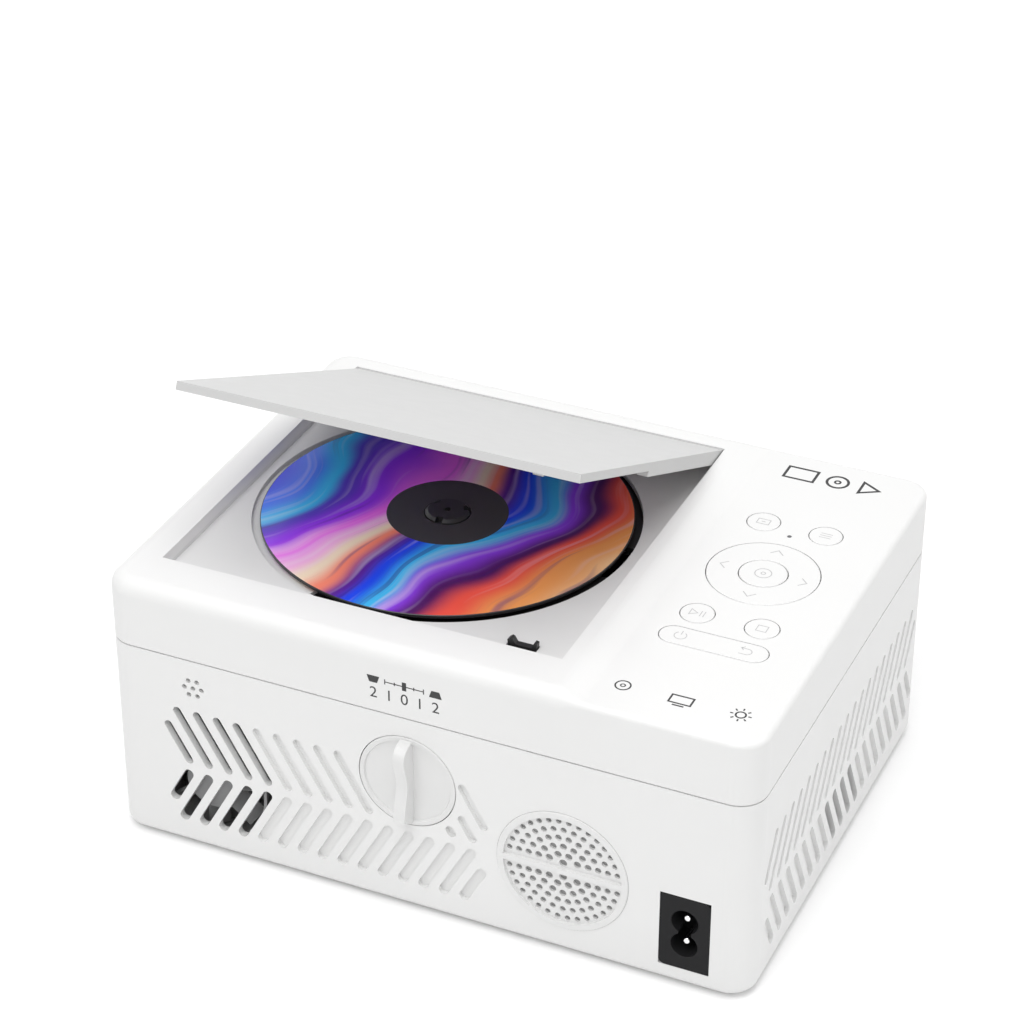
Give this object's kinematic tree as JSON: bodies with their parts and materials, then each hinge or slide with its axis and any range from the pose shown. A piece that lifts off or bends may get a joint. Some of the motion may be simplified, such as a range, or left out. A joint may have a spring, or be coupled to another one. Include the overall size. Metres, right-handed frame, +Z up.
{
  "type": "projector with disc player",
  "caption": "Boxy white LCD projector with a top-loading disc bay under a hinged lid, a key panel, slanted side vents, a tilt knob, a round speaker and a mains inlet.",
  "frame": {"origin": "centre of the footprint at the level of the feet", "axes": "+Z up; -Y towards the long side with the tilt knob, speaker and mains inlet; +Y towards the side with the lens; +X towards the vented end; -X towards the end with the signal sockets"},
  "size_m": [0.216, 0.1734, 0.1519],
  "materials": {
    "white_shell": "fine satin, off white",
    "white_tray": "satin, light grey",
    "white_lid": "satin",
    "white_key": "smooth",
    "white_knob": "smooth",
    "black_loader": "matt",
    "black_plastic": "matt",
    "black_inlet": "satin",
    "black_rubber": "matt",
    "steel": "plain",
    "screw_steel": "blackened",
    "brass": "turned",
    "pin_chrome": "polished",
    "disc_print": "printed, glossy",
    "turntable_black": "satin",
    "motor_steel": "plated",
    "sled_grey": "die-cast",
    "lens_clear": "coated",
    "gear_nylon": "natural nylon",
    "dark_optics": "matt",
    "mirror_face": "polished",
    "lcd_glass": "dark",
    "heat_aluminium": "extruded",
    "reflector_silver": "bright",
    "led_white": "white coated",
    "board_green": "solder mask",
    "barrel_black": "matt",
    "ring_grey": "ribbed",
    "fan_grey": "matt",
    "speaker_white": "satin",
    "speaker_metal": "plated",
    "cone_paper": "paper",
    "ir_dark": "dark",
    "socket_metal": "plated",
    "light_dark": "smooth"
  },
  "bodies": {
    "case": {"lower_shell": "white_shell", "upper_shell": "white_shell", "rubber_feet": "black_rubber", "case_screws": "screw_steel", "tripod_insert": "brass", "bay_tray": "white_tray", "loader_deck": "black_loader", "lid_pins": "steel", "spindle_motor": "motor_steel", "traverse_chassis": "steel", "sled_rods": "steel", "sled_motor": "motor_steel", "gear_bracket": "steel", "optic_tunnel": "dark_optics", "fold_mirror": "mirror_face", "fresnel_lens": "lens_clear", "condenser_lens": "lens_clear", "reflector_cone": "reflector_silver", "led_board": "led_white", "lamp_heatsink": "heat_aluminium", "lens_holder": "dark_optics", "lamp_fan_frame": "fan_grey", "out_fan_frame": "fan_grey", "speaker_grille": "speaker_white", "speaker_frame": "speaker_metal", "speaker_cone": "cone_paper", "mains_inlet": "black_inlet", "inlet_pins": "pin_chrome", "ir_receiver": "ir_dark", "power_board": "board_green", "main_board": "board_green", "signal_sockets": "socket_metal", "key_board": "board_green", "power_light": "light_dark"},
    "lid": {"disc_lid": "white_lid"},
    "latch": {"lid_latch": "black_plastic"},
    "turntable": {"turntable": "turntable_black"},
    "disc": {"disc": "disc_print"},
    "sled": {"laser_sled": "sled_grey", "objective_lens": "lens_clear"},
    "sled_screw": {"sled_screw": "steel"},
    "knob": {"keystone_knob": "white_knob", "knob_gear": "gear_nylon"},
    "tilt_screw": {"keystone_screw": "gear_nylon"},
    "tilt_nut": {"keystone_nut": "gear_nylon"},
    "lcd": {"lcd_frame": "dark_optics", "lcd_panel": "lcd_glass"},
    "focus": {"focus_ring": "ring_grey"},
    "barrel": {"lens_barrel": "barrel_black", "lens_glass": "lens_clear"},
    "lamp_fan": {"lamp_fan_rotor": "fan_grey"},
    "out_fan": {"out_fan_rotor": "fan_grey"},
    "source": {"source_key": "white_key"},
    "menu": {"menu_key": "white_key"},
    "play": {"play_key": "white_key"},
    "stop": {"stop_key": "white_key"},
    "ok": {"ok_key": "white_key"},
    "gimbal": {"dpad_gimbal": "gear_nylon"},
    "dpad": {"dpad_ring": "white_key"},
    "power": {"power_rocker": "white_key"}
  },
  "joints": [
    {"name": "lid_hinge", "type": "hinge", "parent": "case", "child": "lid", "pos_m": [0, 0.06963, 0.0948], "axis": [-1, 0, 0], "range_deg": [-25.1, 0]},
    {"name": "latch_slide", "type": "slide", "parent": "case", "child": "latch", "axis": [0, -1, 0], "range_m": [0, 0.0012], "stiffness_N_per_m": 250},
    {"name": "turntable_spin", "type": "hinge", "parent": "case", "child": "turntable", "pos_m": [-0.0299, 0.0042, 0.09], "axis": [0, 0, 1], "continuous": true},
    {"name": "disc_lift", "type": "slide", "parent": "turntable", "child": "disc", "axis": [0, 0, 1], "range_m": [0, 0.0035]},
    {"name": "sled_screw_turn", "type": "hinge", "parent": "case", "child": "sled_screw", "pos_m": [-0.0299, -0.0203, 0.0815], "axis": [1, 0, 0], "range_deg": [-3060, 3060]},
    {"name": "sled_travel", "type": "slide", "parent": "case", "child": "sled", "axis": [1, 0, 0], "range_m": [-0.017, 0.017]},
    {"name": "knob_turn", "type": "hinge", "parent": "case", "child": "knob", "pos_m": [-0.0039, 0, 0.0496], "axis": [0, 1, 0], "range_deg": [-90, 90]},
    {"name": "tilt_screw_turn", "type": "hinge", "parent": "case", "child": "tilt_screw", "pos_m": [-0.0039, 0, 0.0181], "axis": [0, 1, 0], "range_deg": [-180, 180]},
    {"name": "tilt_nut_travel", "type": "slide", "parent": "case", "child": "tilt_nut", "axis": [0, 1, 0], "range_m": [-0.0025, 0.0025]},
    {"name": "lcd_tilt", "type": "hinge", "parent": "case", "child": "lcd", "pos_m": [-0.0039, 0.012, 0.0496], "axis": [1, 0, 0], "range_deg": [-4.83, 4.83]},
    {"name": "focus_turn", "type": "hinge", "parent": "case", "child": "focus", "pos_m": [-0.0039, 0, 0.0496], "axis": [0, 1, 0], "range_deg": [-60, 60]},
    {"name": "barrel_travel", "type": "slide", "parent": "case", "child": "barrel", "axis": [0, 1, 0], "range_m": [-0.0025, 0.0025]},
    {"name": "lamp_fan_spin", "type": "hinge", "parent": "case", "child": "lamp_fan", "pos_m": [-0.075, -0.077, 0.0239], "axis": [0, 1, 0], "continuous": true},
    {"name": "out_fan_spin", "type": "hinge", "parent": "case", "child": "out_fan", "pos_m": [0.0946, 0.001, 0.0239], "axis": [1, 0, 0], "continuous": true},
    {"name": "source_press", "type": "slide", "parent": "case", "child": "source", "axis": [0, 0, -1], "range_m": [0, 0.0006], "stiffness_N_per_m": 400, "springref_m": -0.0002},
    {"name": "menu_press", "type": "slide", "parent": "case", "child": "menu", "axis": [0, 0, -1], "range_m": [0, 0.0006], "stiffness_N_per_m": 400, "springref_m": -0.0002},
    {"name": "play_press", "type": "slide", "parent": "case", "child": "play", "axis": [0, 0, -1], "range_m": [0, 0.0006], "stiffness_N_per_m": 400, "springref_m": -0.0002},
    {"name": "stop_press", "type": "slide", "parent": "case", "child": "stop", "axis": [0, 0, -1], "range_m": [0, 0.0006], "stiffness_N_per_m": 400, "springref_m": -0.0002},
    {"name": "ok_press", "type": "slide", "parent": "case", "child": "ok", "axis": [0, 0, -1], "range_m": [0, 0.0006], "stiffness_N_per_m": 400, "springref_m": -0.0002},
    {"name": "dpad_side_rock", "type": "hinge", "parent": "case", "child": "gimbal", "pos_m": [0.0763, 0.0072, 0.0884], "axis": [0, 1, 0], "range_deg": [-1.4, 1.4], "stiffness_Nm_per_rad": 0.2},
    {"name": "dpad_fore_rock", "type": "hinge", "parent": "gimbal", "child": "dpad", "pos_m": [0.0763, 0.0072, 0.0884], "axis": [1, 0, 0], "range_deg": [-1.4, 1.4], "stiffness_Nm_per_rad": 0.2},
    {"name": "power_rock", "type": "hinge", "parent": "case", "child": "power", "pos_m": [0.0763, -0.0353, 0.089], "axis": [0, 1, 0], "range_deg": [-1.4, 1.4], "stiffness_Nm_per_rad": 0.2}
  ],
  "couplings": [
    {"joint": "sled_screw_turn", "follows": "sled_travel", "rad_per_m": 3141.6},
    {"joint": "knob_turn", "follows": "tilt_nut_travel", "rad_per_m": 628.32},
    {"joint": "tilt_screw_turn", "follows": "tilt_nut_travel", "rad_per_m": -1256.6},
    {"joint": "lcd_tilt", "follows": "tilt_nut_travel", "rad_per_m": 33.67},
    {"joint": "focus_turn", "follows": "barrel_travel", "rad_per_m": 418.88}
  ]
}
